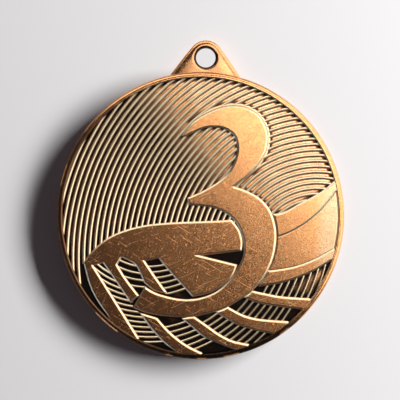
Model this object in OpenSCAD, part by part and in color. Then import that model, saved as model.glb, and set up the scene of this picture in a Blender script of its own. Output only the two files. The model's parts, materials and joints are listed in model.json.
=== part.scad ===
// Third-place medal: a round die-cast medal with a ribbon lug, a relief front and a label on the back.
// It lies on its back: +Z is the face, +Y points to the lug, and the origin is the middle of the back.

/* [Disc] */
// Diameter over the rim
medal_d = 50; // [42:0.5:62]
// Thickness over the rim, front to back
medal_t = 2.8; // [2.4:0.1:4]
// Width of the raised rim on the front
rim_w = 1; // [0.7:0.1:1.6]
// Width of the raised rim on the back
back_rim_w = 1.6; // [1.2:0.1:2.6]
// Chamfer on the outer edges of the rim
rim_chamfer = 0.3; // [0.1:0.05:0.45]
// Depth from the top of the rim to the floor of the relief
relief_depth = 0.85; // [0.6:0.05:1]

/* [Relief heights, down from the top of the rim] */
// Numeral
numeral_drop = 0; // [0:0.05:0.2]
// Border that backs the top of the numeral, level with the fine ridges
border_drop = 0.2; // [0.1:0.05:0.4]
// Leaf with its three fingers
leaf_drop = 0.1; // [0:0.05:0.3]
// Curved stripes
stripe_drop = 0.05; // [0:0.05:0.3]
// Smooth side panel
panel_drop = 0.15; // [0:0.05:0.4]
// Fine ridges
ridge_drop = 0.2; // [0.1:0.05:0.4]

/* [Ridges] */
// Spacing of the ridges in the open field
field_pitch = 0.955; // [0.8:0.005:1.4]
// Width of a ridge in the open field
field_ridge_w = 0.43; // [0.3:0.01:0.5]
// Spacing of the ridges in the windows and between the stripes
hatch_pitch = 1; // [0.8:0.01:1.4]
// Width of a ridge in the windows and between the stripes
hatch_ridge_w = 0.4; // [0.3:0.01:0.5]

/* [Numeral] */
// Gap between the numeral and the stripes that end at it
numeral_gap = 0.3; // [0.15:0.05:0.6]
// Width of the border round the top of the numeral
border_w = 0.45; // [0.2:0.05:0.7]

/* [Ribbon lug] */
// Diameter of the ring hole at its narrowest
hole_d = 3.4; // [3:0.1:4]
// Diameter of the ring hole at its mouths
hole_mouth_d = 4.2; // [4.1:0.1:4.6]
// Depth of the flare at each mouth
hole_flare = 0.4; // [0.2:0.05:0.6]
// Distance from the rim to the middle of the hole
hole_reach = 2.5; // [2.3:0.1:4]
// Outer radius of the lug round the hole
lug_r = 3; // [2.6:0.1:4]
// Width of the lug where it joins the rim
lug_foot_w = 12.3; // [9:0.1:16]
// Thickness of the lug
lug_t = 1.9; // [1.4:0.1:2.1]

/* [Label] */
// Diameter of the engraving label on the back
label_d = 40; // [25:1:44]
// Thickness of the label
label_t = 0.5; // [0.3:0.1:0.8]
// Thickness of its adhesive
adhesive_t = 0.1; // [0.05:0.05:0.2]

/* [Hidden] */
$fn = 96;
medal_r = medal_d / 2;
field_r = medal_r - rim_w;
recess_r = medal_r - back_rim_w;
recess_t = label_t + adhesive_t;      // the label lies flush with the back of the rim
floor_z = medal_t - relief_depth;
lug_z = (medal_t - lug_t) / 2;
hole_y = medal_r + hole_reach;
curve_steps = 4;                      // straight steps between two points of a bend

// The relief is drawn for a medal of this diameter and follows the real one.
drawn_d = 50;
k = medal_d / drawn_d;
far = 2 * drawn_d;                    // well outside the medal

bronze = "peru";
dark_bronze = "saddlebrown";
light_bronze = "burlywood";

// ---- curves ----

// A smooth bend through the points p, without its last point, so that bends join end to end.
function bend(p) = [
    for (i = [0 : len(p) - 2], s = [0 : curve_steps - 1])
        let (
            t = s / curve_steps,
            a = p[max(i - 1, 0)],
            b = p[i],
            c = p[i + 1],
            d = p[min(i + 2, len(p) - 1)]
        )
        (2 * b + (c - a) * t + (2 * a - 5 * b + 4 * c - d) * t ^ 2 + (3 * b - a - 3 * c + d) * t ^ 3) / 2
];

function last(p) = p[len(p) - 1];
function back_to_front(p) = [for (i = [len(p) - 1 : -1 : 0]) p[i]];
function unit(v) = v / norm(v);

// The direction to the left of a line of points at point i.
function left_of(p, i) =
    let (v = unit(p[min(i + 1, len(p) - 1)] - p[max(i - 1, 0)])) [-v[1], v[0]];

// A line of points moved w to its left.
function shifted(p, w) = [for (i = [0 : len(p) - 1]) p[i] + w * left_of(p, i)];

// ---- outlines of the relief, on the drawn medal ----

// Numeral: over the top bowl, round the lower bowl, back inside the lower bowl, inside the top bowl.
three_top = [
    [-3.6, 13.8], [-2, 15.8], [0, 17.3], [2.6, 18.6], [5, 19.1], [7.4, 18.8], [9.6, 17.4], [10.9, 15],
    [11, 12.5], [10.2, 10.4], [8.2, 7.6], [5.4, 5.2]
];
three_side = [
    [5.4, 5.2], [8.2, 4.3], [10.6, 2.8], [12.3, 0.5], [13.1, -3], [12.6, -7.1], [10.8, -10.9],
    [8, -13.7], [4.4, -15.9], [0.4, -17.2], [-4, -17.6], [-8.4, -17.1], [-11, -16.3]
];
three_bowl = [
    [-9.2, -12.8], [-7, -13.9], [-3, -14.7], [0.4, -14.4], [3.5, -13], [6, -10.4], [7.5, -7.4],
    [7.8, -5], [7.1, -2.2], [5.4, 0], [2.8, 1.4], [0, 1.8], [-2, 1.9]
];
three_counter = [
    [-2.3, 2.9], [0, 4], [2.6, 5.6], [4.6, 7.4], [5.7, 9.6], [6.1, 11.8], [5.6, 13.9], [4.2, 15.1],
    [2.3, 15.5], [0.2, 15.3], [-2, 14.3], [-3.1, 13.7]
];

leaf_top = [
    [-19.9, -8.8], [-18.4, -6.8], [-16, -4.6], [-13, -3.1], [-9, -2], [-4, -1.4], [1, -1.05], [5.4, -0.7]
];
leaf_right = [[5.4, -0.7], [6.7, -2.3], [7.3, -4.2], [7.2, -5.8]];
leaf_notch = [-0.6, -6.9];
leaf_low = [[6.5, -8.4], [5.7, -10.4], [4.1, -12], [1.8, -13.3], [-0.9, -14]];
leaf_window_3 = [[-0.9, -14], [-2.4, -12.4], [-4.4, -10.4], [-7, -7.5]];
leaf_finger_3 = [[-9.6, -8.1], [-7.8, -10.6], [-5.5, -13.6]];
leaf_finger_2_side = [[-9.3, -11.9], [-10.2, -10], [-11.2, -8.6], [-13.5, -7.5]];
leaf_finger_2 = [[-14.3, -9], [-12.6, -11.5], [-10.4, -14.2]];
leaf_finger_1_side = [[-11.6, -15.4], [-14.2, -11.8], [-16.6, -8.6]];
leaf_outer = [[-18.5, -9.2], [-14.6, -15], [-9.6, -22.4]];
leaf_edge = [[-15.4, -19.4], [-15.1, -18.4], [-17.3, -15.3], [-18.7, -12.7], [-19.9, -8.8]];

// Each stripe: its upper edge from the numeral outwards, then its lower edge back to the numeral.
stripe_edges = [
    [
        [[-7, -18.1], [-5, -20.2], [-3, -21.8], [-1, -23], [2.6, -24.6]],
        [[-2, -24.6], [-4.4, -23], [-6, -21.7], [-8, -19.6], [-9.7, -17.4]]
    ],
    [
        [[-0.6, -17.6], [2, -19.3], [4, -20.6], [6.6, -21.7], [11, -22.4]],
        [[8.8, -23.8], [6.5, -22.9], [4, -22], [1.5, -21], [-0.5, -19.5], [-2.4, -18]]
    ],
    [
        [[4.9, -15.6], [7.5, -16.9], [9.5, -17.5], [12, -17.8], [17.5, -18]],
        [[15, -20.5], [13.1, -20], [10.5, -19.5], [8, -18.9], [6, -18.1], [3, -16.4]]
    ],
    [
        [[9.2, -12.8], [12, -13.3], [15, -13.7], [21.5, -13.9]],
        [[20, -15.7], [18.4, -15.6], [16, -15.4], [13, -15.1], [10.5, -14.7], [8, -13.8]]
    ],
    [
        [[11.6, -9.3], [14, -8.95], [17, -8.25], [20, -7], [22.4, -5.6], [25, -4]],
        [[25, -5.7], [22.8, -7], [20, -8.8], [17, -10.2], [14, -11.2], [10.6, -11.8]]
    ],
    [
        [[12, 0.5], [14.5, 1], [17.2, 2.6], [20, 4.2], [22, 5.7], [25, 8.7]],
        [[25, 7.2], [23.3, 5], [21, 2], [19, 0], [17, -1.5], [15, -2.6], [12.6, -3.5]]
    ]
];

three_outline = concat(
    bend(three_top),
    bend(three_side), [last(three_side)],
    bend(three_bowl), [last(three_bowl)],
    bend(three_counter), [last(three_counter)]
);

leaf_outline = concat(
    bend(leaf_top), bend(leaf_right), [last(leaf_right), leaf_notch],
    bend(leaf_low), bend(leaf_window_3), [last(leaf_window_3)],
    bend(leaf_finger_3), [last(leaf_finger_3), [-7.6, -13.1]],
    bend(leaf_finger_2_side), [last(leaf_finger_2_side)],
    bend(leaf_finger_2), [last(leaf_finger_2)],
    bend(leaf_finger_1_side), [last(leaf_finger_1_side)],
    bend(leaf_outer), [last(leaf_outer)],
    bend(leaf_edge)
);

// The side panel lies between stripe 6 and stripe 5, its edges on theirs.
panel_outline = concat(
    bend(back_to_front(stripe_edges[5][1])), [last(stripe_edges[5][0])], [[far, 0]],
    bend(back_to_front(stripe_edges[4][0])), [stripe_edges[4][0][0]]
);

// The numeral grown by the gap on its outer side, to cut the ends of what stops at it.
three_clearance = concat(shifted(bend(three_side), numeral_gap / k), [last(three_bowl)]);

// The border backs the upper bowl of the numeral.
border_top = [for (i = [1 : len(three_top) - 2]) three_top[i]];
border_outline = concat(shifted(bend(border_top), border_w / k), [[9, 11], [4, 17], [0, 16.5]]);

// ---- plane shapes ----

module drawn(outline) polygon([for (p = outline) k * p]);

module field(gap = 0) circle(r = field_r - gap, $fn = 180);

module three() drawn(three_outline);

module leaf_shape() intersection() {
    drawn(leaf_outline);
    field();
}

module stripe_shape(i) intersection() {
    difference() {
        drawn(concat(bend(stripe_edges[i][0]), [last(stripe_edges[i][0])], bend(stripe_edges[i][1]),
            [last(stripe_edges[i][1])]));
        drawn(three_clearance);
    }
    field();
}

module ring(r, w, $fn = 180) difference() {
    circle(r = r + w / 2);
    circle(r = r - w / 2);
}

// ---- solids ----

module raised(drop) translate([0, 0, floor_z]) linear_extrude(relief_depth - drop) children();

module medal_disc() color(dark_bronze)
    translate([0, 0, recess_t]) cylinder(r = field_r, h = floor_z - recess_t, $fn = 180);

module rim() color(bronze) rotate_extrude($fn = 180) polygon([
    [recess_r, 0], [medal_r - rim_chamfer, 0], [medal_r, rim_chamfer],
    [medal_r, medal_t - rim_chamfer], [medal_r - rim_chamfer, medal_t], [field_r, medal_t],
    [field_r, recess_t], [recess_r, recess_t]
]);

module suspension_loop() {
    foot = [lug_foot_w / 2, sqrt(medal_r ^ 2 - (lug_foot_w / 2) ^ 2)];
    to_foot = foot - [0, hole_y];
    side_angle = atan2(to_foot[1], to_foot[0]) + acos(lug_r / norm(to_foot));
    side = [lug_r * cos(side_angle), hole_y + lug_r * sin(side_angle)];
    color(light_bronze) difference() {
        translate([0, 0, lug_z]) linear_extrude(lug_t) difference() {
            union() {
                translate([0, hole_y]) circle(r = lug_r);
                polygon([foot, side, [-side[0], side[1]], [-foot[0], foot[1]], [0, 0]]);
            }
            circle(r = medal_r, $fn = 180);
        }
        translate([0, hole_y, -1]) cylinder(d = hole_d, h = medal_t + 2);
        translate([0, hole_y, lug_z + lug_t - hole_flare])
            cylinder(d1 = hole_d, d2 = hole_mouth_d, h = hole_flare);
        translate([0, hole_y, lug_z]) cylinder(d1 = hole_mouth_d, d2 = hole_d, h = hole_flare);
    }
}

module numeral_three() color(bronze) raised(numeral_drop) three();

module numeral_border() color(light_bronze) raised(border_drop) difference() {
    drawn(border_outline);
    three();
}

module leaf() color(dark_bronze) raised(leaf_drop) leaf_shape();

module stripe(i) color(bronze) raised(stripe_drop) stripe_shape(i - 1);

module side_panel() color(light_bronze) raised(panel_drop) intersection() {
    difference() {
        drawn(panel_outline);
        drawn(three_clearance);
    }
    field(numeral_gap / 2);
}

// Fine ridges are arcs about one centre, from a first radius to a last, cut to the ground they fill.
module ridges(centre, first_r, last_r, pitch, w) translate(k * centre)
    for (r = [k * first_r : pitch : k * last_r]) ring(r, w);

module field_ground() difference() {
    field();
    drawn(concat(bend(leaf_top), [[12, -2], [12, 0.5]], bend(stripe_edges[5][0]),
        [last(stripe_edges[5][0]), [far, -far], [-20.4, -far], [-20.4, -8.9]]));
    three();
    drawn(border_outline);
    leaf_shape();
}

field_centre = [20.5, -6.5];
field_first_r = 9.985;
field_last_r = 45.5;

module field_ridges() color(light_bronze) raised(ridge_drop) intersection() {
    ridges(field_centre, field_first_r, field_last_r, field_pitch, field_ridge_w);
    field_ground();
}

// Hatched ground in the windows between the fingers of the leaf. What stands on it is cut out of it.
window_1_ground = [
    [-18.8, -8.9], [-16.4, -8.2], [-12.5, -13.5], [-11.5, -15.2], [-11.3, -16.7], [-9.8, -17.4], [-8, -19],
    [-2.5, -25], [-10.4, -25], [-10.4, -22], [-15, -15]
];
window_2_ground = [
    [-14.6, -8.6], [-13.5, -7.2], [-11, -8.2], [-9, -11.8], [-9.3, -12.9], [-12, -13.1]
];
window_3_ground = [[-10, -8.4], [-7, -7.2], [-0.9, -14], [-5.5, -13.6]];

// Hatched ground between stripe i and the next: out along one edge, back along the other.
function between_stripes(i) = concat(
    bend(stripe_edges[i][0]), [last(stripe_edges[i][0])],
    bend(stripe_edges[i + 1][1]), [last(stripe_edges[i + 1][1])]
);

// Each patch of hatching: its ground, then the first and last radius and the share of the spacing of
// its arcs. The windows have one centre and the gaps between the stripes another.
window_centre = [-8.9, 2];
window_patches = [
    [window_1_ground, 14.05, 24.3, 0.85],
    [window_2_ground, 11.3, 15.2, 1.15],
    [window_3_ground, 11.15, 16.4, 1]
];
stripe_centre = [-9.2, -1.4];
stripe_patches = [
    [between_stripes(0), 18.55, 24, 1],
    [between_stripes(1), 20, 28.3, 1.01],
    [between_stripes(2), 22, 29.1, 1],
    [between_stripes(3), 23.6, 32, 1.02]
];

module hatch_ground(outline) difference() {
    intersection() {
        drawn(outline);
        field();
    }
    three();
    leaf_shape();
    for (i = [0 : len(stripe_edges) - 1]) stripe_shape(i);
}

module hatching(patches, centre) color(light_bronze) raised(ridge_drop)
    for (patch = patches) intersection() {
        ridges(centre, patch[1], patch[2], patch[3] * hatch_pitch, hatch_ridge_w);
        hatch_ground(patch[0]);
    }

module window_ridges() hatching(window_patches, window_centre);

module stripe_ridges() hatching(stripe_patches, stripe_centre);

module engraving_label() color("goldenrod") cylinder(d = label_d, h = label_t, $fn = 180);

module label_adhesive() color("lightyellow")
    translate([0, 0, label_t]) cylinder(d = label_d, h = adhesive_t, $fn = 180);

medal_disc();
rim();
suspension_loop();
numeral_three();
numeral_border();
leaf();
side_panel();
stripe(1);  // stripe_1
stripe(2);  // stripe_2
stripe(3);  // stripe_3
stripe(4);  // stripe_4
stripe(5);  // stripe_5
stripe(6);  // stripe_6
field_ridges();
window_ridges();
stripe_ridges();
engraving_label();
label_adhesive();
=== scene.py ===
# %% [markdown]
# # A cast medal with an antique bronze finish
# The medal is one zinc die casting: a disc inside a raised rim, a lug for the ribbon ring, and a
# relief of plates and fine ridges. Its back holds a blank label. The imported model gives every
# outline and height, so this lesson only has to give those shapes the soft, drafted edges of a
# casting, and the finish: dark stain left in the low ground, bright metal rubbed clean on top.
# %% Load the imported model
import json
import math

import bmesh
import bpy
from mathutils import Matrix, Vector, noise
from mathutils.geometry import delaunay_2d_cdt
from mathutils.kdtree import KDTree

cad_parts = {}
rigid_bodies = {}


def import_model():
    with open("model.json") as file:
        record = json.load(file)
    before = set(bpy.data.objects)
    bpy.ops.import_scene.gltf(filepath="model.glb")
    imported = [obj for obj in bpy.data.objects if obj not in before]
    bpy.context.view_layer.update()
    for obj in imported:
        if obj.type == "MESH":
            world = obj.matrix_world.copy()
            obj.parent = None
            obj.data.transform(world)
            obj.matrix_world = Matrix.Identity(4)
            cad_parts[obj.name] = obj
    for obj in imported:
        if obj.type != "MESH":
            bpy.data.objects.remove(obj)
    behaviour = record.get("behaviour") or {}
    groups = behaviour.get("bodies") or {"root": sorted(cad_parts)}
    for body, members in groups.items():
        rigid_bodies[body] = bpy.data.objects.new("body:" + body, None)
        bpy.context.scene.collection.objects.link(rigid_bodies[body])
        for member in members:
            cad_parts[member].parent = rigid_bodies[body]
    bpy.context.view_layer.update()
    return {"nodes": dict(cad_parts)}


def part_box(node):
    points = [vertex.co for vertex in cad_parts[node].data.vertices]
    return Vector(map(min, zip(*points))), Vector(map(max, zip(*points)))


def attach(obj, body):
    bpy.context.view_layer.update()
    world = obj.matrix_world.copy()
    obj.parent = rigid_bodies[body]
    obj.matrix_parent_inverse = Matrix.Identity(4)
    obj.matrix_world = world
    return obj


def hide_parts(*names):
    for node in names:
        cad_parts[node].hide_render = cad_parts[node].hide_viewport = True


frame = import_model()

MM = 0.001                                 # a millimetre, in metres

# %% [markdown]
# ## Heights that the pieces share
# Every piece of the relief stands on the ground of the disc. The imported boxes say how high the
# ground is and how wide the medal is, so nothing here has to be typed in twice.
# %% Read the main sizes
def top_of(node):
    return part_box(node)[1].z / MM


def bottom_of(node):
    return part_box(node)[0].z / MM


ground_z = top_of("medal_disc")
field_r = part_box("medal_disc")[1].x / MM   # the relief lies inside this radius
medal_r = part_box("rim")[1].x / MM
print("ground at", round(ground_z, 2), "field radius", round(field_r, 2), "medal radius", round(medal_r, 2))

# %% [markdown]
# ## Painted light across the medal
# A stained casting is rubbed by hand or on a wheel. Here the bronze also carries painted light: it is
# painted lighter towards the upper right, where the light falls, and darker at the lower left, as
# painted shade. That could be painted on each piece. A function of the place on the medal gives all
# the pieces one gradient that runs on from piece to piece.
# %% Say how far a place lies in the painted light
PAINTED_LIGHT_UPWARDS = 0.9                        # the gradient rises by this upwards, and by 1 to the right


def clamp(value):
    return min(1.0, max(0.0, value))


def painted_light_gradient(x, y, start=4.0, over=12.0):
    """Painted light: 0 at the lower left and 1 at the upper right, rising over some mm from a start."""
    return clamp((x + PAINTED_LIGHT_UPWARDS * y - start) / over)


print("clear from lower left to upper right:", [round(painted_light_gradient(v, v), 2) for v in (-15, 5, 15)])

# %% [markdown]
# ## Outlines
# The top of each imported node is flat. The edges round that flat are its outline. They could be
# drawn again by hand, but reading them keeps the two models on the same lines for good.
# %% Walk round the top of a node
SAME_POINT = 2e-7                          # metres: packed points closer than this are one point
SAME_LEVEL = 1e-6


def outlines(node):
    """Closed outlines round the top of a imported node, in mm, each with the solid on its left."""
    bm = bmesh.new()
    bm.from_mesh(frame["nodes"][node].data)
    bmesh.ops.remove_doubles(bm, verts=bm.verts, dist=SAME_POINT)
    top = max(v.co.z for v in bm.verts)
    level = top - SAME_LEVEL
    top_faces = [f for f in bm.faces if f.normal.z > 0.9 and f.calc_center_median().z > level]
    flat = set(top_faces)
    step_on = {}
    for face in top_faces:
        for corner in face.loops:
            if sum(f in flat for f in corner.edge.link_faces) == 1:
                step_on[corner.vert] = corner.link_loop_next.vert
    found = []
    while step_on:
        start, v = step_on.popitem()
        line = [start]
        while v is not start:
            line.append(v)
            v = step_on.pop(v)
        found.append([v.co.xy / MM for v in line])
    bm.free()
    return found


numeral_outline = outlines("numeral_three")[0]
print("numeral outline has", len(numeral_outline), "points")

# %% [markdown]
# ## Smooth lines with true corners
# A packed outline is a chain of short chords. Seen close, the chords show. A curve through the
# same points hides them, as long as it stops at the real corners. Each stretch between two
# points becomes a cubic that leaves and arrives along the local direction of the line.
# %% Resample an outline
CORNER = math.radians(26)                  # a sharper turn than this is a real corner


def without_doubles(line, gap=0.04):
    kept = [p for i, p in enumerate(line) if (p - line[i - 1]).length > gap]
    return kept if len(kept) > 3 else line


def smooth_line(line, step):
    """The closed line again, through its own points, with a point every step or so."""
    line = without_doubles(line)
    count = len(line)
    ahead = [(line[(i + 1) % count] - line[i]).normalized() for i in range(count)]
    reach = [(line[(i + 1) % count] - line[i]).length for i in range(count)]
    sharp = [ahead[i - 1].angle(ahead[i], 0.0) > CORNER for i in range(count)]

    def heading(i):
        mixed = reach[i - 1] * ahead[i] + reach[i] * ahead[i - 1]
        return mixed.normalized()

    made = []
    for i in range(count):
        j = (i + 1) % count
        leave = ahead[i] if sharp[i] else heading(i)
        arrive = ahead[i] if sharp[j] else heading(j)
        parts = max(1, round(reach[i] / step))
        for n in range(parts):
            t = n / parts
            made.append(
                (2 * t ** 3 - 3 * t ** 2 + 1) * line[i]
                + (3 * t ** 2 - 2 * t ** 3) * line[j]
                + reach[i] * ((t ** 3 - 2 * t ** 2 + t) * leave + (t ** 3 - t ** 2) * arrive)
            )
    return made


print("numeral after smoothing:", len(smooth_line(numeral_outline, 0.25)), "points")

# %% [markdown]
# ## Lines beside a line
# A rounded edge is a set of lines that run beside the outline at small distances. Each point moves
# out along the middle of its corner, and further at a corner than on a straight, so that the moved
# line keeps its corners. At a needle-sharp tip that would shoot far out, so there is a limit.
# %% Move a line outwards
SQUARE_LIMIT = 0.45                        # the least cosine that a corner is kept square for
FOLDED_BACK = 0.2                          # two sides whose normals add up to less are a needle


def right_of(direction):
    return Vector((direction.y, -direction.x))


def moved_out(line, by):
    """The closed line moved outwards, with corners kept square up to a limit."""
    made = []
    for i, p in enumerate(line):
        before = right_of((p - line[i - 1]).normalized())
        after = right_of((line[(i + 1) % len(line)] - p).normalized())
        out = before + after
        if out.length < FOLDED_BACK:
            out = before
        out = out.normalized()
        made.append(p + out * (by / max(out.dot(before), SQUARE_LIMIT)))
    return made


widened = moved_out(numeral_outline, 0.2)
print("numeral grows to", round(max(p.x for p in widened) - min(p.x for p in widened), 1), "mm wide")

# %% [markdown]
# ## Building a shader from small steps
# A finish is a tree of nodes that ends in one Principled shader. The tree could be typed out node
# by node, but the idea of the finish would be lost in links. These helpers add one node each and
# give back its output, so that a finish reads as a few sums. A value that is the same all over the
# surface is set on the shader's own socket, where an exporter can find it.
# %% Make a finish and add nodes to it
def new_finish(name, **fixed):
    """A material with one Principled shader, whose fixed values are set on its own sockets."""
    material = bpy.data.materials.new(name)
    material.use_nodes = True
    shader = material.node_tree.nodes["Principled BSDF"]
    for socket, value in fixed.items():
        shader.inputs[socket.replace("_", " ")].default_value = value
    return material


def add_node(material, kind, settings=None, **inputs):
    """One more node. An input is called by its name, or i0, i1... by its number."""
    tree = material.node_tree
    made = tree.nodes.new(kind)
    for key, value in (settings or {}).items():
        setattr(made, key, value)
    for key, value in inputs.items():
        socket = made.inputs[int(key[1:])] if key[1:].isdigit() else made.inputs[key.replace("_", " ")]
        if isinstance(value, bpy.types.NodeSocket):
            tree.links.new(value, socket)
        else:
            socket.default_value = value
    return made


def plug(material, output, socket):
    shader = material.node_tree.nodes["Principled BSDF"]
    material.node_tree.links.new(output, shader.inputs[socket])


print("shader helpers: new_finish, add_node, plug")

# %% [markdown]
# ## Ranges, sums and blends
# Three kinds of node do nearly all the work of a finish. A range turns part of one value into
# another, a sum adds or compares two values, and a blend goes from one colour to the next by an
# amount. Each gets a helper of its own, because all the finishes here use them again and again.
# %% Add ranges, sums and blends
def between(material, value, low, high, to_low=0.0, to_high=1.0):
    made = add_node(
        material, "ShaderNodeMapRange", i0=value, i1=low, i2=high, i3=to_low, i4=to_high
    )
    return made.outputs[0]


def combine(material, operation, first, second, clamped=False):
    made = add_node(
        material, "ShaderNodeMath", {"operation": operation, "use_clamp": clamped}, i0=first, i1=second
    )
    return made.outputs[0]


def blend_colours(material, amount, first, second):
    made = add_node(
        material, "ShaderNodeMix", {"data_type": "RGBA"}, Factor=amount, i6=first, i7=second
    )
    return made.outputs[2]


print("shader helpers: between, combine, blend_colours")

# %% [markdown]
# ## Noise of a known size
# Stain clouds, casting grain and scratches are all noise, each at its own size. A noise texture has
# a scale, not a size, so the size in millimetres is turned into a scale here. A scratch is noise
# stretched along one direction: only its thin crests pass the threshold, as short broken lines.
# %% Grain and scratches
SCRATCH_FROM, SCRATCH_FULL = 0.73, 0.76    # the part of the noise that counts as a scratch


def grain(material, size, detail=2.0, squash=(1, 1, 1), turn=0.0):
    """Noise whose features are about size millimetres across."""
    where = add_node(material, "ShaderNodeTexCoord").outputs["Object"]
    rotated = add_node(material, "ShaderNodeMapping", Vector=where, Rotation=(0, 0, turn)).outputs[0]
    placed = add_node(material, "ShaderNodeMapping", Vector=rotated, Scale=squash).outputs[0]
    made = add_node(material, "ShaderNodeTexNoise", Vector=placed, Scale=1 / (size * MM), Detail=detail)
    return made.outputs["Fac"]


def scratches(material, turn, length=5.0, width=0.07):
    """Thin broken lines, about length by width millimetres, turned by an angle in radians."""
    lines = grain(material, length, 1.0, (1, length / width, 1), turn)
    return between(material, lines, SCRATCH_FROM, SCRATCH_FULL)


print("a scratch starts where the noise passes", SCRATCH_FROM)

# %% [markdown]
# ## Finish: antique bronze
# The real casting is plated with bronze, dipped in a dark stain, then rubbed. The stain stays in
# the low places and the high places come up bright. A painted image could show that, but a number
# stored on every point, how far it is rubbed, follows the shape exactly. That number also carries
# painted light: it is raised towards the upper right and lowered at the lower left, as painted
# shade. The shader goes from stain through dull bronze to rubbed bronze and pale worn metal by
# that number. Clouds and specks break up the steps, and a reddish tarnish mottles the bronze that
# was rubbed.
# %% Mix stain and bronze
STAIN = (0.012, 0.008, 0.006, 1)
DULL_BRONZE = (0.30, 0.14, 0.065, 1)
TARNISH = (0.50, 0.17, 0.09, 1)
RUBBED_BRONZE = (0.92, 0.44, 0.16, 1)
WORN_PALE = (0.86, 0.71, 0.46, 1)          # where rubbing has gone through to the paler metal
CLOUD, MOTTLE, PIT, SPECK = 2.5, 0.5, 0.35, 0.16        # sizes in mm


def rubbed_with_breaks(material, rubbed, specks):
    """How far the surface is rubbed, made uneven by clouds and specks."""
    clouds = between(material, grain(material, CLOUD, 3.0), 0.3, 0.7, -0.04, 0.04)
    clouded = combine(material, "ADD", rubbed, clouds)
    return combine(material, "ADD", clouded, between(material, specks, 0.3, 0.7, -0.06, 0.06), True)


def bronze_colour(material, broken, specks):
    """Stain, dull bronze, and rubbed bronze mottled by tarnish."""
    dark = blend_colours(material, between(material, broken, 0.08, 0.55), STAIN, DULL_BRONZE)
    mottle = between(material, grain(material, MOTTLE, 5.0), 0.4, 0.62, 0.0, 0.25)
    patina = combine(material, "ADD", mottle, between(material, specks, 0.4, 0.62, 0.0, 0.25))
    bright = blend_colours(material, patina, RUBBED_BRONZE, TARNISH)
    return blend_colours(material, between(material, broken, 0.45, 0.75), dark, bright)


print("stain is", round(RUBBED_BRONZE[0] / STAIN[0]), "times darker than rubbed bronze")

# %% [markdown]
# ## Finish: marks and gloss
# A medal that has been in a drawer with others has fine scratches in a few directions and small
# pits. Each mark shows pale in the colour, rougher in the gloss and lower in the bump, so that it
# looks right under any light. Where the metal is rubbed, it is smoother. Bump is enough for marks
# this shallow; every shape that could be felt with a fingernail is in the mesh.
# %% Put the bronze together
MARK_PALE, MARK_ROUGH, MARK_DEEP = 0.6, 0.16, 0.6
WORN_FROM, WORN_FULL, WORN_ROUGH = 0.86, 0.97, 0.13
GRAIN_DEPTH = 0.012 * MM


def marks_on(material):
    """1 on scratches in three directions and in small pits, 0 elsewhere."""
    marks = combine(material, "MAXIMUM", scratches(material, 0.5), scratches(material, 1.9, 3.5))
    marks = combine(material, "MAXIMUM", marks, scratches(material, 2.7, 6.0, 0.06))
    pits = between(material, grain(material, PIT), 0.66, 0.72)
    return combine(material, "MAXIMUM", marks, pits)


def antique(name):
    material = new_finish(name, Metallic=1.0, Coat_Weight=0.15, Coat_Roughness=0.18)
    # The rubbed value holds wear and stain, and also painted light and painted shade.
    rubbed = add_node(material, "ShaderNodeAttribute", {"attribute_name": "rubbed"}).outputs["Fac"]
    specks = grain(material, SPECK)
    broken = rubbed_with_breaks(material, rubbed, specks)
    worn = between(material, rubbed, WORN_FROM, WORN_FULL)
    marks = marks_on(material)

    shown = combine(material, "MULTIPLY", combine(material, "MULTIPLY", marks, MARK_PALE), rubbed)
    pale = combine(material, "MAXIMUM", worn, shown)
    bronze = bronze_colour(material, broken, specks)
    plug(material, blend_colours(material, pale, bronze, WORN_PALE), "Base Color")

    rough = combine(material, "ADD", between(material, broken, 0.1, 0.6, 0.5, 0.19),
                    between(material, specks, 0.35, 0.65, -0.05, 0.06))
    rough = combine(material, "ADD", rough, combine(material, "MULTIPLY", marks, MARK_ROUGH))
    rough = combine(material, "ADD", rough, combine(material, "MULTIPLY", worn, WORN_ROUGH))
    plug(material, rough, "Roughness")

    height = combine(material, "SUBTRACT", specks, combine(material, "MULTIPLY", marks, MARK_DEEP))
    bump = add_node(material, "ShaderNodeBump", Strength=0.45, Distance=GRAIN_DEPTH, Height=height)
    plug(material, bump.outputs[0], "Normal")
    return material


finishes = {"antique_bronze": antique("antique_bronze"), "bronze_ground": antique("bronze_ground")}
print("bronze finishes:", list(finishes))

# %% [markdown]
# ## Making a piece
# Each piece is built in millimetres with bmesh, then scaled once. Every piece is closed, so that
# it can be made as a solid. Smooth shading hides the small facets; real corners stay sharp.
# %% Turn a bmesh into a piece
SHARP = math.radians(42)                   # edges that turn by more than this stay sharp


def new_mesh():
    bm = bmesh.new()
    # The rubbed value holds wear and stain, and painted light as well: higher towards the upper right, lower
    # at the lower left.
    rub = bm.verts.layers.float.new("rubbed")
    return bm, rub


def ring_of(bm, rub, points, rubbed):
    made = []
    for p in points:
        v = bm.verts.new(p)
        v[rub] = rubbed
        made.append(v)
    return made


def bridge(bm, first, second):
    """Quads between two rings with the same number of points."""
    for i, a in enumerate(first):
        b = first[(i + 1) % len(first)]
        bm.faces.new((a, b, second[(i + 1) % len(second)], second[i]))


def finish_piece(bm, name, slot, node):
    for v in bm.verts:
        v.co *= MM
    bmesh.ops.recalc_face_normals(bm, faces=bm.faces)
    mesh = bpy.data.meshes.new(name)
    bm.to_mesh(mesh)
    bm.free()
    mesh.shade_smooth()
    mesh.set_sharp_from_angle(angle=SHARP)
    piece = bpy.data.objects.new(name, mesh)
    bpy.context.scene.collection.objects.link(piece)
    mesh.materials.append(finishes[slot])
    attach(piece, "root")
    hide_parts(node)
    print(name, "has", len(mesh.polygons), "faces")
    return piece


print("edges sharper than", round(math.degrees(SHARP)), "degrees stay sharp")

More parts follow.
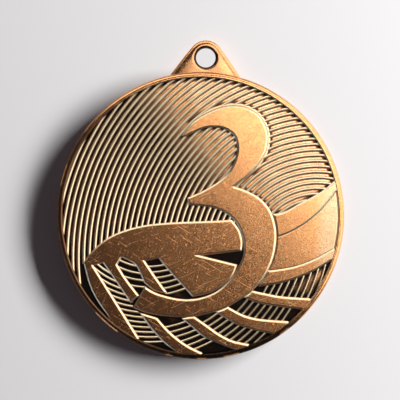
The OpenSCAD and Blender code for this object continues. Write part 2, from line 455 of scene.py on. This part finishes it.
# %% [markdown]
# ## Plates with drafted edges
# The numeral, the leaf and the stripes are flat plates on the ground. A die can only let go of a
# casting if the walls lean, and rubbing rounds the top edge. A bevel modifier would do this for
# simple plates, but it fails at thin tips. Here every point gets its height from its distance to
# the outline, so a tip thinner than the bevel simply becomes a low roof.
# %% The profile of an edge
EDGE = [                                   # distance outside the outline, drop from the top, in mm
    (-0.26, 0.0), (-0.18, 0.0), (-0.14, 0.01), (-0.09, 0.035), (0.0, 0.088), (0.1, 0.15), (0.15, 0.19),
    (0.185, 0.27), (0.21, 0.4),
]
FOOT_OUT = 0.24                            # the wall meets the ground this far outside the outline
BURIED = 0.05                              # pieces go this far into the ground


def drop_at(outside, profile):
    """How far an edge has dropped at a distance outside its outline."""
    if outside <= profile[0][0]:
        return profile[0][1]
    for (a, drop_a), (b, drop_b) in zip(profile, profile[1:]):
        if outside <= b:
            return drop_a + (drop_b - drop_a) * (outside - a) / (b - a)
    return profile[-1][1]


def wavy(x, y, wave=4.0, height=0.008):
    """The gentle waviness of a cast surface, in mm."""
    return height * noise.noise(Vector((x / wave, y / wave, 3.7)))


print("edge drops", EDGE[-1][1], "mm over", round(EDGE[-1][0] - EDGE[0][0], 2), "mm")

# %% [markdown]
# ## Distance to an outline
# Heights and rubbing both depend on how far a point is from an outline. Testing every stretch of
# the line for every point would be slow in Python. Points sprinkled densely along the line and
# put in a search tree answer the same question quickly, to a few hundredths of a millimetre.
# %% Measure from an outline
def tree_of(lines, step=0.05, beyond=0.0):
    """A search tree of points along closed lines; only those beyond a distance from the middle."""
    points = []
    for line in lines:
        for i, p in enumerate(line):
            q = line[(i + 1) % len(line)]
            parts = max(1, math.ceil((q - p).length / step))
            points += [p.lerp(q, n / parts) for n in range(parts)]
    points = [p for p in points if p.length >= beyond]
    tree = KDTree(len(points))
    for i, p in enumerate(points):
        tree.insert((p.x, p.y, 0), i)
    tree.balance()
    return tree


def distance(tree, p):
    return tree.find((p[0], p[1], 0))[2]


def inside(p, lines):
    """True if p is inside the closed lines (holes count as outside)."""
    odd = False
    for line in lines:
        a = line[-1]
        for b in line:
            if (a.y > p[1]) != (b.y > p[1]) and p[0] < a.x + (p[1] - a.y) / (b.y - a.y) * (b.x - a.x):
                odd = not odd
            a = b
    return odd


print("middle of the medal is inside the numeral:", inside((0.0, 0.0), [numeral_outline]))

# %% [markdown]
# ## Points for a skin
# The top of a plate needs close points where it bends, at the edge, and few where it is flat. So
# the outline gets rings beside it at the profile's own distances, and a loose grid fills the rest.
# Where a tip is too thin for a ring, the ring is left open, so that no two edges cross.
# %% Place rings and a grid inside an outline
RING_LEFT = 0.93                           # a ring point nearer than this share has met another edge
RING_GAP = 0.6                             # ring points further apart than this aren't joined
GRID_CLEAR = 0.4                           # the grid stays this far inside the outline


def rings_beside(lines, tree, profile, points, edges):
    """Adds rings inside the outlines, left open where two edges of a thin tip meet."""
    for outside, _ in reversed([row for row in profile if row[0] < 0]):
        for line in lines:
            numbers = []
            for p in moved_out(line, outside):
                clear = distance(tree, p) > -RING_LEFT * outside
                numbers.append(len(points) if clear else None)
                if clear:
                    points.append(p)
            for i, number in enumerate(numbers):
                if number is not None and numbers[i - 1] is not None:
                    if (points[number] - points[numbers[i - 1]]).length < RING_GAP:
                        edges.append((numbers[i - 1], number))


def grid_inside(lines, tree, grid):
    found = []
    xs = [p.x for line in lines for p in line]
    ys = [p.y for line in lines for p in line]
    y = min(ys) + grid / 2
    while y < max(ys):
        x = min(xs) + grid / 2
        while x < max(xs):
            if distance(tree, (x, y)) > GRID_CLEAR and inside((x, y), lines):
                found.append(Vector((x, y)))
            x += grid
        y += grid * 0.87
    return found


print("a skin bends in", sum(row[0] < 0 for row in EDGE), "rings inside its outline")

# %% [markdown]
# ## Joining the skin
# One Delaunay triangulation joins outline, rings and grid, and keeps the rings as edges, so the
# bend stays crisp. Filling the outline as one face would give long thin triangles, which shade
# badly on metal. The triangulation may number points anew, so points are found again by place.
# %% Cover the top of a plate
def cover(lines, profile, grid=0.8):
    """Triangles over a plate: its outline, rings inside it and a loose grid. Gives points and faces."""
    tree = tree_of(lines)
    points, edges = [], []
    for line in lines:
        first = len(points)
        points += [Vector(p) for p in line]
        edges += [(first + i, first + (i + 1) % len(line)) for i in range(len(line))]
    rings_beside(lines, tree, profile, points, edges)
    points += grid_inside(lines, tree, grid)
    made, _, faces, _, _, _ = delaunay_2d_cdt(points, edges, [], 2, 1e-5)
    if len(lines) > 1:                     # the triangles also fill the holes, so those are dropped
        faces = [f for f in faces if inside(sum((made[i] for i in f), Vector((0, 0))) / len(f), lines)]
    return made, faces, tree


def by_place(verts):
    """Finds a point of the skin again by where it is."""
    return {(round(v.co.x, 4), round(v.co.y, 4)): v for v in verts}


def on_line(found, line):
    return [found[round(p.x, 4), round(p.y, 4)] for p in line]


numeral_skin = cover([smooth_line(numeral_outline, 0.25)], EDGE)
print("the numeral's skin has", len(numeral_skin[0]), "points and", len(numeral_skin[1]), "triangles")

# %% [markdown]
# ## Wear and painted light on a plate
# A cloth rides on the flats and presses hardest on their edges. So the flat is rubbed well, the edge
# is worn through to pale metal, and the wall keeps its stain towards its foot. The flats also carry
# painted light: a painted highlight pales them at the far right, and painted shade darkens them at
# the lower left. An edge mask baked to an image could show the same, but the distance to the
# outline is already known for every point.
# %% Say how far a plate is rubbed, and where light is painted on it
# The second number is a painted highlight at the far right, the third painted shade at the lower left.
FLAT_RUB, PAINTED_HIGHLIGHT_GAIN, PAINTED_SHADE_LOSS = 0.78, 0.13, 0.18
WORN_BAND = 0.2                            # the flat starts to be worn this far inside the outline


def flat_rub_and_light(x, y):
    """The flat of a plate: rubbed, with a painted highlight at the right and painted shade at the lower
    left.
    """
    # Painted highlight towards the far right, painted shade towards the lower left.
    highlight_side = clamp((x - 16.0) / 6.0)
    dull = clamp((-x - y - 10.0) / 15.0)
    return FLAT_RUB + PAINTED_HIGHLIGHT_GAIN * highlight_side - PAINTED_SHADE_LOSS * dull


def top_rub_and_light(x, y, d):
    """The top of a plate at a distance d inside its outline: fully worn in the last 0.12 mm."""
    flat = flat_rub_and_light(x, y)
    return flat + (1.0 - flat) * clamp((WORN_BAND - d) / 0.08)


def wall_rub(outside):
    return max(0.0, 1.0 - 8.0 * max(0, outside - 0.12))


print("flats are rubbed", round(flat_rub_and_light(-15, -15), 2), "to", round(flat_rub_and_light(22, 0), 2))

# %% [markdown]
# ## From skin to plate
# In the die a plate is one pocket with leaning walls all round. Extruding the skin straight down
# would give upright walls. Instead each row of the profile becomes a ring further out and further
# down, and quads join ring to ring. The floor of the plate is buried in the ground, which costs
# nothing and leaves no gap of light under it.
# %% Build the plates
def plate(name, node):
    lines = [smooth_line(line, 0.25) for line in outlines(node)]
    for line in lines:
        for p in line:
            if p.length > field_r - 0.03:  # a plate that ends at the rim runs on into it
                p *= (field_r + 0.3) / p.length
    top = top_of(node)
    points, faces, tree = cover(lines, EDGE)
    bm, rub = new_mesh()
    made = []
    for p in points:
        d = distance(tree, p)
        v = bm.verts.new((p.x, p.y, top - drop_at(-d, EDGE) + wavy(p.x, p.y) * min(1, d)))
        v[rub] = top_rub_and_light(p.x, p.y, d)
        made.append(v)
    for face in faces:
        bm.faces.new([made[i] for i in face])
    found = by_place(made)
    for line in lines:
        upper = on_line(found, line)
        for outside, drop in [row for row in EDGE if row[0] > 0]:
            around = [(p.x, p.y, top - drop) for p in moved_out(line, outside)]
            lower = ring_of(bm, rub, around, wall_rub(outside))
            bridge(bm, upper, lower)
            upper = lower
        around = [(p.x, p.y, ground_z - BURIED) for p in moved_out(line, FOOT_OUT)]
        lower = ring_of(bm, rub, around, 0.0)
        bridge(bm, upper, lower)
        bm.faces.new(lower)
    return finish_piece(bm, name, "antique_bronze", node)


plates = {
    "numeral_three": "cast_numeral", "numeral_border": "numeral_backing", "leaf": "cast_leaf",
    "side_panel": "smooth_panel", **{f"stripe_{n}": f"ribbon_stripe_{n}" for n in range(1, 7)},
}
for node, name in plates.items():
    plate(name, node)

# %% [markdown]
# ## Fine ridges
# Each set of ridges is arcs round one centre, like the grooves of a record. An array of circles cut
# with booleans would work, but slowly, and with ragged ends. Sweeping one rounded profile along
# each packed arc is quick, and each line of the sweep can stop exactly where the arc is cut.
# %% Shape and rubbing of a ridge
RIDGE = [                                  # distance from the crown, drop from the top, in mm
    (0.0, 0.0), (0.04, 0.006), (0.08, 0.02), (0.13, 0.042), (0.18, 0.068), (0.23, 0.1), (0.265, 0.145),
    (0.29, 0.22), (0.31, 0.335),
]
RIDGE_FOOT = (0.335, None)                 # no drop: this row is buried in the ground
RIDGE_STEP = 0.45
RIDGE_LOW = 0.02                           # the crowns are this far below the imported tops
GROOVE_PAINTED_LIGHT = 0.35                        # painted light: how much lighter a groove is towards the upper right
one_side = RIDGE[1:] + [RIDGE_FOOT]
ridge_rows = [(-u, drop) for u, drop in reversed(one_side)] + RIDGE[:1] + one_side


def ridge_height(x, y, top, drop):
    if drop is None:
        return ground_z - BURIED
    return max(top - drop, ground_z) + wavy(x, y, 3.0, 0.02)


def ridge_rub_and_light(x, y, drop, least):
    """Worn on the crown. The groove beside it keeps its stain, or is rubbed a little: least.
    Where least is given, painted light also lightens the groove towards the upper right.
    """
    groove = least + GROOVE_PAINTED_LIGHT * painted_light_gradient(x, y) if least else 0.0
    return groove if drop is None else max(groove, 1.0 - 5.0 * max(0, drop - 0.08))


print("a ridge has", len(ridge_rows), "lines along it")

# %% [markdown]
# ## Where a ridge stops
# Each arc is cut off by a plate or by the rim, mostly at a slant. If all the lines of the profile
# stopped at one angle, the end would stand square and leave a gap or poke out. So each line
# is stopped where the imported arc's own outline crosses the circle that the line runs on.
# %% Find the ends of a ridge
RIDGE_OVER = 0.15                          # each end runs on this far, into what cuts it off
STEEPEST = 4                               # a cut more slanted than this is treated as this


def span(line, centre, radius):
    """First and last angle at which a closed line crosses a circle, in radians."""
    found = []
    for i, b in enumerate(line):
        a = line[i - 1]
        ra, rb = (a - centre).length, (b - centre).length
        if (ra > radius) != (rb > radius):
            p = a.lerp(b, (radius - ra) / (rb - ra)) - centre
            found.append(math.atan2(p.y, p.x) % math.tau)
    return (min(found), max(found)) if len(found) > 1 else None


def ends_of(line, centre, middle, half, rows):
    """First and last angle of each line of the profile; nothing if the arc is only a scrap."""
    safe = 0.9 * half
    near, far = span(line, centre, middle - safe), span(line, centre, middle + safe)
    if not near or not far:
        return None
    slants = [(b - a) / (2 * safe) for a, b in zip(near, far)]
    slants = [max(-STEEPEST / middle, min(STEEPEST / middle, slant)) for slant in slants]
    over = [RIDGE_OVER * math.hypot(1, slant * middle) / middle for slant in slants]
    ends = []
    for u, _ in rows:
        held = max(-safe, min(safe, u))
        a, b = span(line, centre, middle + held) or near
        ends.append((a + slants[0] * (u - held) - over[0], b + slants[1] * (u - held) + over[1]))
    return ends


print("packed ridges in the field:", len(outlines("field_ridges")))

# %% [markdown]
# ## Sweeping the ridges
# A curve with a bevel profile is Blender's own way to sweep, but it cuts every end square. Here
# each line of the profile is walked from its own start to its own end in equal parts, and quads
# join the steps. Both ends are closed, so every ridge is a solid of its own.
# %% Sweep the ridges
def sweep(bm, rub, line, centre, top, least, wide):
    """One ridge along a packed arc. Gives its length in mm."""
    reach = [(p - centre).length for p in line]
    middle, half = (min(reach) + max(reach)) / 2, (max(reach) - min(reach)) / 2
    rows = [(u * wide, drop) for u, drop in ridge_rows]
    ends = ends_of(line, centre, middle, half, rows)
    if not ends:
        return 0
    length = max(b - a for a, b in ends) * middle
    parts = max(2, round(length / RIDGE_STEP))
    rings = []
    for n in range(parts + 1):
        ring = []
        for (u, drop), (a, b) in zip(rows, ends):
            angle = a + (b - a) * n / parts
            r = middle + u
            x, y = centre.x + r * math.cos(angle), centre.y + r * math.sin(angle)
            v = bm.verts.new((x, y, ridge_height(x, y, top, drop)))
            v[rub] = ridge_rub_and_light(x, y, drop, least)
            ring.append(v)
        rings.append(ring)
    for first, second in zip(rings, rings[1:]):
        bridge(bm, first, second)
    bm.faces.new(rings[0])
    bm.faces.new(list(reversed(rings[-1])))
    return length


def ridge_piece(name, node, centre, least, wide=1.0):
    bm, rub = new_mesh()
    top = top_of(node) - RIDGE_LOW
    total = sum(sweep(bm, rub, line, Vector(centre), top, least, wide) for line in outlines(node))
    print(name, "sweeps", round(total), "mm of ridge")
    return finish_piece(bm, name, "antique_bronze", node)


ridge_piece("field_of_ridges", "field_ridges", (20.5, -6.5), 0.25)
ridge_piece("leaf_window_ridges", "window_ridges", (-8.9, 2.0), 0.0, 0.75)
ridge_piece("stripe_gap_ridges", "stripe_ridges", (-9.2, -1.4), 0.0, 0.75)

# %% [markdown]
# ## Ground
# The ground is what is left between ridges and plates, and it is where the stain pools. It is one
# disc with a slightly wavy top. A square grid bent into a circle gives even quads right up to the
# edge, which a grid of rings would not. Points near a wall are left dark.
# %% Bend a grid into a disc
def disc_grid(radius, count):
    """Points of a square grid bent into a disc, row by row."""
    made = []
    for j in range(count + 1):
        for i in range(count + 1):
            a, b = 2 * i / count - 1, 2 * j / count - 1
            if a == 0 and b == 0:
                made.append((0.0, 0.0))
                continue
            if abs(a) > abs(b):
                r, angle = a, math.pi / 4 * b / a
            else:
                r, angle = b, math.pi / 2 - math.pi / 4 * a / b
            made.append((radius * r * math.cos(angle), radius * r * math.sin(angle)))
    return made


print("a disc of 2 by 2 quads has", len(disc_grid(1.0, 2)), "points")

# %% [markdown]
# ## Stain and painted light in the ground
# Stain stays where a rubbing cloth can't reach: in a narrow pool beside the numeral, and in all the
# gaps between the leaf's fingers and the stripes. A wide pool distance fills those gaps, and a
# short one draws the dark line round the numeral. In the open, the cloth reaches the ground too.
# The ground also carries painted light: towards the upper right it is painted lighter and both
# pools are narrowed.
# %% Say how far the ground is rubbed, and where light is painted on it
plate_lines = {node: [smooth_line(line, 0.3) for line in outlines(node)] for node in plates}
numeral_walls = tree_of(plate_lines["numeral_three"] + plate_lines["numeral_border"])
other_walls = tree_of(sum([plate_lines[n] for n in plates if n.startswith(("leaf", "stripe"))], []))
POOLS = [(numeral_walls, 0.45), (other_walls, 1.8)]     # walls, and how wide stain lies beside them
POOL_IN_PAINTED_LIGHT = 0.75                          # painted light: the width of both pools at the upper right
GROUND_LEAST, GROUND_PAINTED_LIGHT = 0.14, 0.76    # open ground: rubbed by the first, and painted lighter by the second at the upper right


def ground_rub_and_light(x, y):
    """How far the ground is rubbed: none beside a wall, some in the open, plus painted light."""
    # Painted light: lighter ground and narrower pools towards the upper right.
    clear = painted_light_gradient(x, y)
    open_ground = clamp((field_r - math.hypot(x, y) - 0.25) / 0.5)
    for walls, pool in POOLS:
        pool += (POOL_IN_PAINTED_LIGHT - pool) * clear
        open_ground = min(open_ground, distance(walls, (x, y)) / pool)
    return (GROUND_LEAST + GROUND_PAINTED_LIGHT * clear) * open_ground ** 2


print("ground rubbed at the top and at the left:", round(ground_rub_and_light(5, 21), 2), round(ground_rub_and_light(-15, 5), 2))

# %% [markdown]
# ## The disc under the relief
# The ground carries everything, so it is a full disc with a back, not a sheet. The parts of it
# under the plates are never seen. Cutting the plates' outlines out of it would save some quads, but
# every cut could leave a gap along a wall, so they stay.
# %% Build the ground
GROUND_QUADS = 150                         # along each side of the bent grid


def ground_disc():
    bm, rub = new_mesh()
    count, wide = GROUND_QUADS, GROUND_QUADS + 1
    grid = []
    for x, y in disc_grid(field_r + 0.1, count):
        v = bm.verts.new((x, y, ground_z + wavy(x, y, 2.0, 0.02)))
        v[rub] = ground_rub_and_light(x, y)
        grid.append(v)
    for j in range(count):
        for i in range(count):
            k = j * wide + i
            bm.faces.new((grid[k], grid[k + 1], grid[k + wide + 1], grid[k + wide]))
    border = [grid[i] for i in range(count)]
    border += [grid[j * wide + count] for j in range(count)]
    border += [grid[count * wide + i] for i in range(count, 0, -1)]
    border += [grid[j * wide] for j in range(count, 0, -1)]
    under = ring_of(bm, rub, [(v.co.x, v.co.y, bottom_of("medal_disc")) for v in border], 0.6)
    bridge(bm, under, border)
    bm.faces.new(under)
    return finish_piece(bm, "cast_ground", "bronze_ground", "medal_disc")


ground_disc()

# %% [markdown]
# ## Rim
# The rim is the same all the way round, so it is turned: one profile, swept round the middle. Its
# crown lies near the inside and slopes away outwards, to an edge rounded by tumbling. Its front
# carries painted light: at the upper right the whole front is painted bright, and at the lower left
# and along the bottom it is painted dark as painted shade, apart from a few knocked patches of wear
# near the outer edge. A gentle wave stops the reflections from being perfect rings.
# %% The rim's profile and rubbing
RIM = [                                    # radius and height in mm, and how far it is rubbed
    (23.4, bottom_of("medal_disc") + 0.02, 0.4), (23.7, 1.2, 0.0), (23.86, ground_z, 0.0),
    (23.9, 2.3, 0.1), (23.94, 2.55, 0.6), (23.98, 2.68, 1.0), (24.04, 2.76, 1.0), (24.12, 2.795, 0.95),
    (24.2, 2.8, 0.85), (24.32, 2.79, 0.8), (24.46, 2.755, 0.78), (24.6, 2.7, 0.78), (24.72, 2.63, 0.8),
    (24.82, 2.54, 0.9), (24.9, 2.43, 0.9), (24.96, 2.28, 0.75), (25.0, 2.05, 0.5), (25.0, 0.7, 0.45),
    (24.98, 0.5, 0.6), (24.92, 0.3, 0.85), (24.82, 0.14, 0.9), (24.68, 0.04, 0.9), (24.5, 0.0, 0.8),
    (23.62, 0.0, 0.8), (23.5, 0.03, 0.9), (23.42, 0.1, 0.8),
]
BACK_EDGE = 0.6                            # below this height the rim is rubbed evenly
KNOCK_FROM, KNOCK_TO = 24.5, 24.9          # the radii between which the front is knocked
KNOCK_SIZE = 5
RIM_LEAST, RIM_LEFT = 0.12, 0.25           # painted shade: what the dark part keeps, and more at the left


def rim_rub_and_light(x, y, r, z, rubbed):
    """The profile's rubbing, held back in painted shade at the lower left and the bottom."""
    if z <= BACK_EDGE:
        return rubbed
    patch = noise.noise(Vector((x, y, 8.0)) / KNOCK_SIZE) > 0.12
    knocked = patch and KNOCK_FROM < r < KNOCK_TO and z > 2
    least = RIM_LEAST + RIM_LEFT * clamp(-x / 20)
    return rubbed * (least + (1 - least) * max(painted_light_gradient(x, y, -2.0, 8.0), knocked))


print("rim is", round(max(r for r, _, _ in RIM) - min(r for r, _, _ in RIM), 2), "mm wide")

# %% [markdown]
# ## Turning the profile
# A lathe, or Blender's Screw modifier, would sweep the profile into a perfect ring. A loop does the
# same, and lets each point sink a little by noise and take its own rubbing, which a modifier can't.
# %% Turn the rim
RIM_STEPS = 400
RIM_WAVE = 0.03


def turned_rim():
    bm, rub = new_mesh()
    rings = []
    for n in range(RIM_STEPS):
        angle = math.tau * n / RIM_STEPS
        ring = []
        for r, z, rubbed in RIM:
            place = Vector((r * math.cos(angle), r * math.sin(angle), z))
            sunk = abs(RIM_WAVE * noise.noise(place / 3))
            inner = r - sunk
            v = bm.verts.new((inner * math.cos(angle), inner * math.sin(angle), max(0.0, z - sunk)))
            v[rub] = rim_rub_and_light(v.co.x, v.co.y, r, z, rubbed)
            ring.append(v)
        rings.append(ring)
    for n in range(RIM_STEPS):
        bridge(bm, rings[n - 1], rings[n])
    return finish_piece(bm, "turned_rim", "antique_bronze", "rim")


turned_rim()

# %% [markdown]
# ## Ribbon lug
# The lug is thinner than the rim and stands in the middle of its edge. Both its faces are rounded
# over a wide band along the free edge, but not where they meet the rim: the outline is run on into
# the rim and the rounding leaves that part out, so the two meet like one casting, without a groove.
# The ring hole flares at both mouths and keeps its stain inside, where no cloth reaches.
# %% The lug's edges and outlines
LUG_EDGE = [                               # distance outside the outline, drop from the face, in mm
    (-2.0, 0.0), (-1.4, 0.015), (-0.95, 0.045), (-0.6, 0.1), (-0.35, 0.175), (-0.17, 0.26), (-0.06, 0.36),
    (0.0, 0.5),
]
MOUTH_EDGE = [(-0.2, 0.0), (-0.1, 0.008), (0.0, 0.03)]
LUG_RUB = 0.6
HOLE = [(2.0, 0.07), (1.88, 0.16), (1.78, 0.28), (1.72, 0.42), (1.7, 0.6)]    # radius, depth


def lug_lines():
    """The lug's outer outline, run on into the rim, and the mouth of its hole."""
    outer, mouth = sorted(outlines("suspension_loop"), key=lambda line: -max(p.y for p in line))
    outer, mouth = smooth_line(outer, 0.2), smooth_line(mouth, 0.2)
    for p in outer:
        if p.length < medal_r + 0.03:
            p *= (field_r + 0.3) / p.length
    return outer, mouth


def lug_rub_and_shade(x, d):
    """Painted shade at the left, and rubbed more along the free edge."""
    return LUG_RUB - 0.1 * clamp((-x - 2.0) / 2.5) + 0.3 * max(0, 1 - d / 0.5)


print("the mouth of the ring hole has", len(lug_lines()[1]), "points")

# %% [markdown]
# ## Two faces and a hole
# Both faces of the lug are the same skin, one above and one below, each dropped towards the middle
# at its edges. Joining their outlines closes the edge, and rings that step down from each mouth
# make the flared hole. A boolean cut would leave thin slivers round the mouths.
# %% Build the lug
def lug():
    outer, mouth = lug_lines()
    middle = sum(mouth, Vector((0, 0))) / len(mouth)
    mouth_r = (mouth[0] - middle).length
    points, faces, _ = cover([outer, mouth], LUG_EDGE, 0.6)
    free_edge, mouth_edge = tree_of([outer], beyond=medal_r), tree_of([mouth])
    bm, rub = new_mesh()
    sides = []
    for level, inwards in ((top_of("suspension_loop"), -1), (bottom_of("suspension_loop"), 1)):
        made = []
        for p in points:
            d = distance(free_edge, p)
            drop = drop_at(-d, LUG_EDGE) + drop_at(-distance(mouth_edge, p), MOUTH_EDGE)
            v = bm.verts.new((p.x, p.y, level + inwards * drop + wavy(p.x, p.y) * min(1, d)))
            v[rub] = lug_rub_and_shade(p.x, d)
            made.append(v)
        for face in faces:
            bm.faces.new([made[i] for i in (face if inwards < 0 else reversed(face))])
        found = by_place(made)
        hole = on_line(found, mouth)
        for r, depth in HOLE:
            around = [middle + (p - middle) * r / mouth_r for p in mouth]
            around = [(p.x, p.y, level + inwards * depth) for p in around]
            ring = ring_of(bm, rub, around, max(0, 0.4 - 3 * depth))
            bridge(bm, hole, ring)
            hole = ring
        sides.append((on_line(found, outer), hole))
    bridge(bm, sides[0][0], sides[1][0])
    bridge(bm, sides[0][1], sides[1][1])
    return finish_piece(bm, "ribbon_lug", "antique_bronze", "suspension_loop")


lug()

# %% [markdown]
# ## Finishes of the back
# The back of such a medal holds a blank metal label on a film of adhesive, ready to be engraved.
# Its face is brushed in one direction: long thin noise, stretched along X, does that in both the
# roughness and the bump. The film is a cloudy clear plastic with small bubbles.
# %% Two finishes for the back
BRUSHED_DARK, BRUSHED_LIGHT = (0.60, 0.41, 0.17, 1), (0.78, 0.56, 0.27, 1)
FILM_CLEAR, FILM_CLOUDY = (0.62, 0.55, 0.40, 1), (0.75, 0.70, 0.56, 1)
BRUSH_DEPTH = 0.006 * MM


def brushed(name):
    material = new_finish(name, Metallic=1.0)
    lines = grain(material, 3.0, 3.0, (1, 70, 1))
    cloud = grain(material, 6.0)
    tone = combine(material, "ADD", combine(material, "MULTIPLY", lines, 0.6),
                   combine(material, "MULTIPLY", cloud, 0.4))
    colour = blend_colours(material, between(material, tone, 0.3, 0.7), BRUSHED_DARK, BRUSHED_LIGHT)
    plug(material, colour, "Base Color")
    plug(material, between(material, tone, 0.3, 0.7, 0.42, 0.28), "Roughness")
    bump = add_node(material, "ShaderNodeBump", Strength=0.3, Distance=BRUSH_DEPTH, Height=lines)
    plug(material, bump.outputs[0], "Normal")
    return material


def film(name):
    material = new_finish(name, IOR=1.47)
    bubbles = grain(material, 0.8, 3.0)
    colour = blend_colours(material, between(material, bubbles, 0.35, 0.65), FILM_CLEAR, FILM_CLOUDY)
    plug(material, colour, "Base Color")
    plug(material, between(material, bubbles, 0.3, 0.7, 0.35, 0.55), "Roughness")
    return material


finishes["label_metal"] = brushed("label_metal")
finishes["adhesive"] = film("adhesive")
print("finishes so far:", list(finishes))

# %% [markdown]
# ## Back label
# The label is punched from thin sheet, which leaves its edge slightly rounded; the film is cut with
# the same punch. A cylinder with a bevel would do. Turning a profile of five points gives the same
# shape in one step and keeps both faces whole. Only the film's edge can be seen, under the label's.
# %% Lay the label and its film
SHEET_STEPS = 240


def round_sheet(name, slot, node, soften):
    low, high, radius = bottom_of(node), top_of(node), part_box(node)[1].x / MM
    rows = [(radius - soften, low), (radius - 0.3 * soften, low + 0.3 * soften), (radius, low + soften),
            (radius, high - soften), (radius - soften, high)]
    angles = [math.tau * n / SHEET_STEPS for n in range(SHEET_STEPS)]
    bm, rub = new_mesh()
    rings = []
    for r, z in rows:
        rings.append(ring_of(bm, rub, [(r * math.cos(a), r * math.sin(a), z) for a in angles], 1.0))
    for first, second in zip(rings, rings[1:]):
        bridge(bm, first, second)
    bm.faces.new(rings[0])
    bm.faces.new(rings[-1])
    return finish_piece(bm, name, slot, node)


round_sheet("blank_label", "label_metal", "engraving_label", 0.06)
round_sheet("label_film", "adhesive", "label_adhesive", 0.02)

# %% [markdown]
# ## Floor and surroundings
# The medal lies on a plain pale floor. A metal shows what is around it, so even the dim air counts:
# it is much of what the dark flats at the lower left reflect. It is set slightly pink, which
# brings out the red of the bronze, and dim enough to leave the stain dark.
# %% Lay the floor
FLOOR_HALF = 3
AIR_COLOUR = (1.0, 0.79, 0.88, 1)

corners = [(-FLOOR_HALF, -FLOOR_HALF, 0), (FLOOR_HALF, -FLOOR_HALF, 0),
           (FLOOR_HALF, FLOOR_HALF, 0), (-FLOOR_HALF, FLOOR_HALF, 0)]
floor_mesh = bpy.data.meshes.new("floor")
floor_mesh.from_pydata(corners, [], [(0, 1, 2, 3)])
floor_mesh.materials.append(new_finish("pale_floor", Base_Color=(0.76, 0.76, 0.78, 1), Roughness=0.7))
floor = bpy.data.objects.new("floor", floor_mesh)
bpy.context.scene.collection.objects.link(floor)

world = bpy.data.worlds.new("studio_air")
world.use_nodes = True
air = world.node_tree.nodes["Background"]
air.inputs["Color"].default_value = AIR_COLOUR
air.inputs["Strength"].default_value = 0.05
bpy.context.scene.world = world
print("floor is", 2 * FLOOR_HALF, "m wide")

# %% [markdown]
# ## What each light reaches
# A light bright enough for a pale floor burns out the bronze, and one that suits the bronze leaves
# the floor grey. In a studio, black flags would shade one from the other. Blender's light linking
# does it by lists: a light shines only on what is in its receiver collection, and only what is in
# its blocker collection casts its shadow. The lug is left out of the blockers, so that the floor
# inside the ring hole stays bright.
# %% Sort the pieces
medal_pieces = bpy.data.collections.new("medal_pieces")
disc_pieces = bpy.data.collections.new("disc_pieces")
floor_only = bpy.data.collections.new("floor_only")
floor_only.objects.link(floor)
for piece in bpy.context.scene.objects:
    if piece.type == "MESH" and piece is not floor:
        medal_pieces.objects.link(piece)
        if piece.name != "ribbon_lug":
            disc_pieces.objects.link(piece)

# %% [markdown]
# ## Lights
# Each light has one job. A low window at the right lights the floor and throws the medal's shadow
# to the left. A wide key at the right fills every face that leans right. A panel at the far side
# lifts the edges that lean away. The overhead panel is small and to the upper right: the flats
# mirror it there and fall off to dark at the lower left. A dim cool strip low at the lower left
# draws thin lines on the edges that the key can't reach.
# %% Hang the lights
WARM, WINDOW, WHITE, COOL = (1.0, 0.98, 0.95), (1.0, 0.99, 0.97), (1.0, 1.0, 1.0), (0.5, 0.68, 1.0)


def soft_light(name, azimuth, elevation, reach, width, height, power, colour, lit):
    """An area light that looks at the medal from an azimuth and elevation in degrees."""
    data = bpy.data.lights.new(name, "AREA")
    data.shape = "RECTANGLE"
    data.size, data.size_y = width, height
    data.energy = power
    data.color = colour
    lamp = bpy.data.objects.new(name, data)
    turn, rise = math.radians(azimuth), math.radians(elevation)
    towards = Vector((math.cos(rise) * math.cos(turn), math.cos(rise) * math.sin(turn), math.sin(rise)))
    lamp.location = towards * reach
    lamp.rotation_euler = towards.to_track_quat("Z", "Y").to_euler()
    bpy.context.scene.collection.objects.link(lamp)
    lamp.light_linking.receiver_collection = lit
    print(name, "at", [round(v, 2) for v in lamp.location])
    return lamp


window = soft_light("window", 20, 21.0, 0.6, 0.5, 0.13, 10.8, WINDOW, floor_only)
window.light_linking.blocker_collection = disc_pieces
soft_light("key", 18, 32, 0.6, 1.0, 0.62, 4.0, WARM, medal_pieces)
soft_light("far_side", 100, 34, 0.6, 0.70, 0.25, 1.15, WARM, medal_pieces)
soft_light("overhead", 45, 73.4, 0.67, 0.36, 0.28, 1.0, WHITE, medal_pieces)
soft_light("low_strip", 215, 16, 0.5, 0.5, 0.06, 0.28, COOL, medal_pieces)

# %% [markdown]
# ## Camera
# The camera looks straight down at the medal from about 20 cm, turned by a small angle so that the
# lug stands a little to the right of straight up. The "Standard" view keeps the contrast and the
# warm colour of polished bronze; Blender's usual AgX view would soften both.
# %% Set the camera
CAMERA_AT = Vector((-0.18, 2.70, 203)) * MM
CAMERA_TURN = math.radians(1.9)

camera_data = bpy.data.cameras.new("camera")
camera_data.lens = 104
camera = bpy.data.objects.new("camera", camera_data)
camera.location = CAMERA_AT
camera.rotation_euler = (0, 0, CAMERA_TURN)
bpy.context.scene.collection.objects.link(camera)
bpy.context.scene.camera = camera
bpy.context.scene.view_settings.view_transform = "Standard"
print("camera looks straight down from", round(camera.location.z / MM), "mm")
